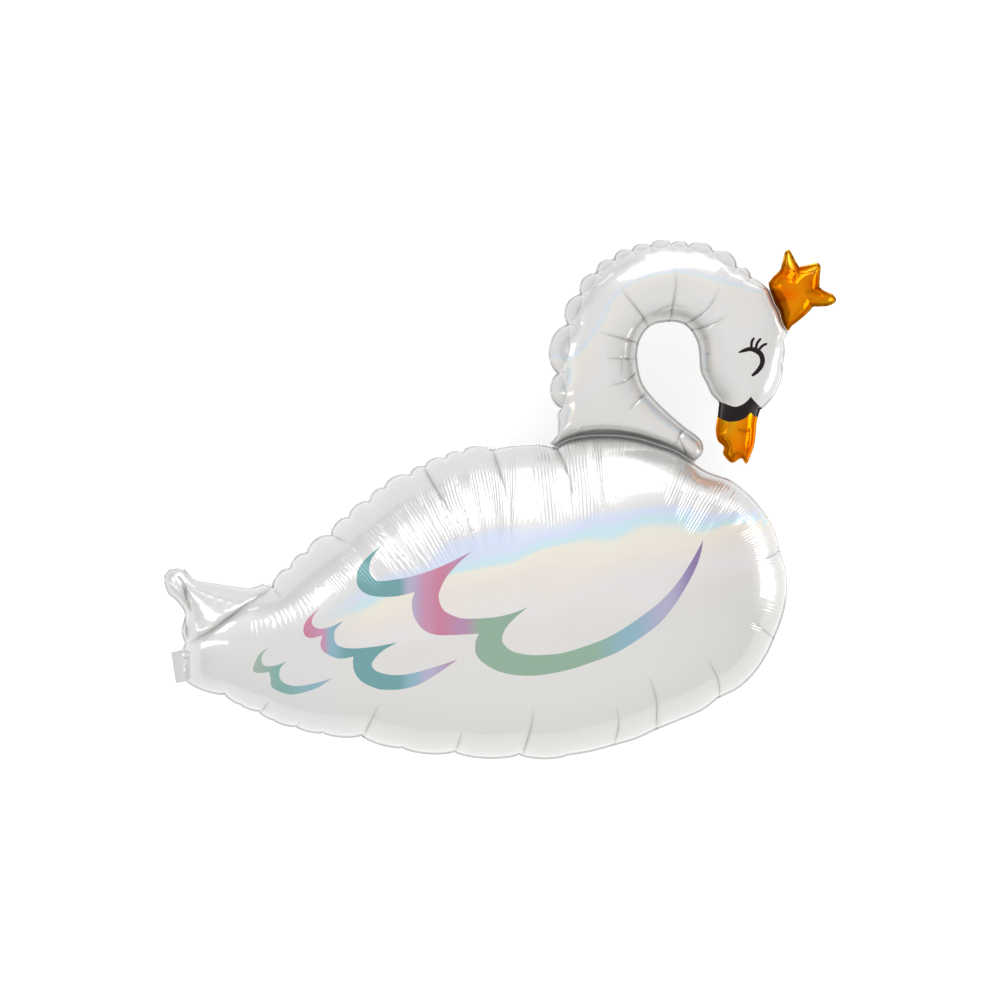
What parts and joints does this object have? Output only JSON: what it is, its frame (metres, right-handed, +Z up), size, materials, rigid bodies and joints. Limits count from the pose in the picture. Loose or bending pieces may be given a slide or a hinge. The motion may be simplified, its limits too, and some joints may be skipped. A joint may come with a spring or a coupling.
{
  "type": "shaped foil balloon",
  "caption": "Inflated swan-shaped foil balloon lying on its back: pillow body with forked tail, hooked neck with head and beak, small crown.",
  "frame": {"origin": "middle of the footprint, on the floor under the balloon lying on its back", "axes": "+X from the tail to the breast, +Y from the belly to the top of the neck, +Z up out of the printed front face"},
  "size_m": [0.8782, 0.6802, 0.261],
  "materials": {
    "body": "pearl metallised film, faintly iridescent, with printed feathers",
    "neck_and_head": "pearl metallised film with printed eye, black band and gold beak",
    "crown": "gold metallised film"
  },
  "bodies": {
    "root": {"body": "body", "neck_and_head": "neck_and_head", "crown": "crown"}
  },
  "joints": []
}
